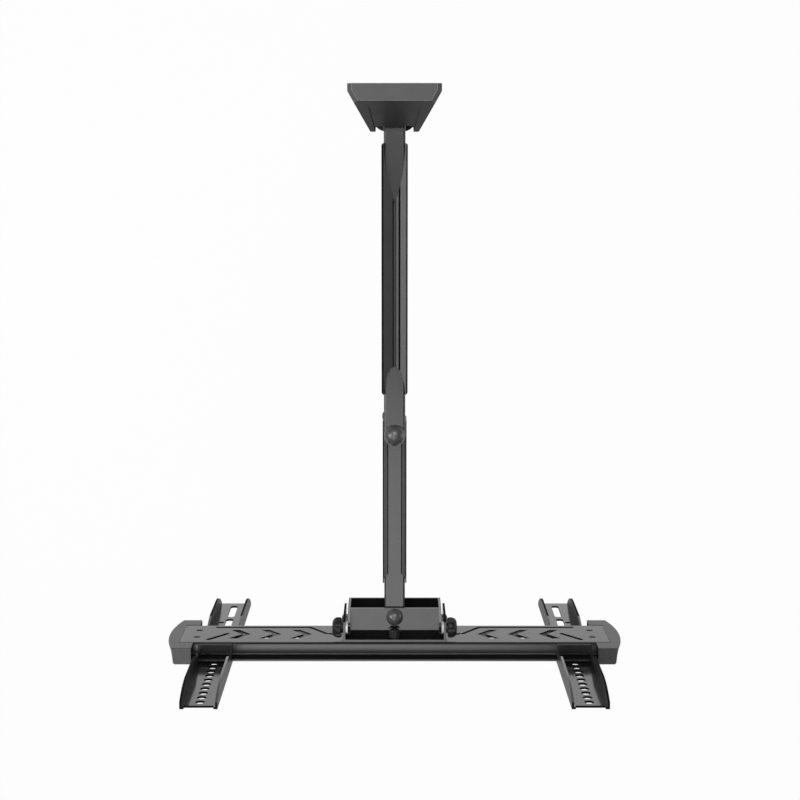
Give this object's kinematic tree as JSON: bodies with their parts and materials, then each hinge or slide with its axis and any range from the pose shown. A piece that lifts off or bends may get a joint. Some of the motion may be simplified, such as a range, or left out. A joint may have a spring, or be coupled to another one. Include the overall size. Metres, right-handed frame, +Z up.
{
  "type": "swivel tv wall mount",
  "caption": "Full-motion wall mount for a flat television: a covered wall plate, a folding double arm, a swivel and tilt head, and a slotted rail with sliding upright brackets.",
  "frame": {"origin": "centre of the wall plate's back face, level with the middle of the first arm", "axes": "+Y into the wall, +Z up, +X to the right seen from the television side"},
  "size_m": [0.5514, 0.6809, 0.434],
  "materials": {
    "wall_steel": "satin powder coat",
    "arm_steel": "satin powder coat",
    "head_steel": "satin powder coat",
    "rail_steel": "satin powder coat",
    "bracket_steel": "satin powder coat",
    "cover_plastic": "fine-grained moulding",
    "arm_cover_plastic": "fine-grained moulding",
    "end_cap_plastic": "fine-grained moulding",
    "dome_plastic": "semi-gloss moulding",
    "knob_plastic": "satin moulding",
    "guide_plastic": "plain moulding",
    "washer_nylon": "plain",
    "fastener_steel": "zinc plated",
    "black_fastener": "black oxide"
  },
  "bodies": {
    "wall_base": {"wall_plate": "wall_steel", "wall_pivot_bracket": "wall_steel", "wall_cover": "cover_plastic", "wall_pivot_bolt": "fastener_steel", "wall_pivot_washers": "washer_nylon", "wall_pivot_nut_washer": "fastener_steel", "wall_pivot_nut": "fastener_steel"},
    "arm_1": {"arm_1_tube": "arm_steel", "arm_1_wall_sleeve": "fastener_steel", "arm_1_elbow_sleeve": "fastener_steel", "arm_1_cover": "arm_cover_plastic", "arm_1_side_screw": "black_fastener", "elbow_bolt": "fastener_steel", "elbow_cap": "dome_plastic", "elbow_nut_washer": "fastener_steel", "elbow_nut": "fastener_steel", "elbow_lower_cap": "dome_plastic"},
    "arm_2": {"arm_2_tube": "arm_steel", "arm_2_elbow_sleeve": "fastener_steel", "arm_2_swivel_sleeve": "fastener_steel", "arm_2_cover": "arm_cover_plastic", "elbow_washer": "washer_nylon"},
    "head": {"swivel_bracket": "head_steel", "swivel_bolt": "fastener_steel", "swivel_cap": "dome_plastic", "swivel_washers": "washer_nylon", "swivel_nut_washer": "fastener_steel", "swivel_nut": "fastener_steel", "swivel_lower_cap": "dome_plastic", "tilt_spacers": "washer_nylon", "tilt_pivot_bolts": "black_fastener", "tilt_pivot_nuts": "fastener_steel"},
    "tilt": {"tilt_bracket": "head_steel", "level_pivot_bolt": "fastener_steel", "level_pivot_nut": "fastener_steel", "level_nut": "fastener_steel"},
    "tilt_knob_left": {"tilt_knob_left": "knob_plastic"},
    "tilt_knob_right": {"tilt_knob_right": "knob_plastic"},
    "level_knob": {"level_knob": "knob_plastic"},
    "rail": {"rail": "rail_steel", "rail_cap_left": "end_cap_plastic", "rail_cap_right": "end_cap_plastic"},
    "tv_bracket_left": {"tv_bracket_left": "bracket_steel", "hook_guide_left": "guide_plastic", "lower_clip_left": "guide_plastic"},
    "tv_bracket_right": {"tv_bracket_right": "bracket_steel", "hook_guide_right": "guide_plastic", "lower_clip_right": "guide_plastic"}
  },
  "joints": [
    {"name": "wall_swing", "type": "hinge", "parent": "wall_base", "child": "arm_1", "pos_m": [0, -0.03, 0], "axis": [0, 0, 1], "range_deg": [-90, 90]},
    {"name": "elbow", "type": "hinge", "parent": "arm_1", "child": "arm_2", "pos_m": [0, -0.401, -0.0215], "axis": [0, 0, -1], "range_deg": [-120, 120]},
    {"name": "head_swivel", "type": "hinge", "parent": "arm_2", "child": "head", "pos_m": [0, -0.63, -0.0431], "axis": [0, 0, 1], "range_deg": [-60, 60]},
    {"name": "tilt", "type": "hinge", "parent": "head", "child": "tilt", "pos_m": [0, -0.642, -0.0471], "axis": [1, 0, 0], "range_deg": [-5, 15]},
    {"name": "level", "type": "hinge", "parent": "tilt", "child": "rail", "pos_m": [0, -0.6579, -0.0431], "axis": [0, 1, 0], "range_deg": [-5, 5]},
    {"name": "bracket_slide_left", "type": "slide", "parent": "rail", "child": "tv_bracket_left", "axis": [-1, 0, 0], "range_m": [-0.116, 0.005]},
    {"name": "bracket_slide_right", "type": "slide", "parent": "rail", "child": "tv_bracket_right", "axis": [1, 0, 0], "range_m": [-0.116, 0.005]},
    {"name": "tilt_knob_turn_left", "type": "hinge", "parent": "head", "child": "tilt_knob_left", "pos_m": [-0.068, -0.642, -0.0151], "axis": [-1, 0, 0], "continuous": true},
    {"name": "tilt_knob_turn_right", "type": "hinge", "parent": "head", "child": "tilt_knob_right", "pos_m": [0.068, -0.642, -0.0151], "axis": [1, 0, 0], "continuous": true},
    {"name": "level_knob_turn", "type": "hinge", "parent": "tilt", "child": "level_knob", "pos_m": [0, -0.65, -0.0161], "axis": [0, 1, 0], "continuous": true}
  ]
}
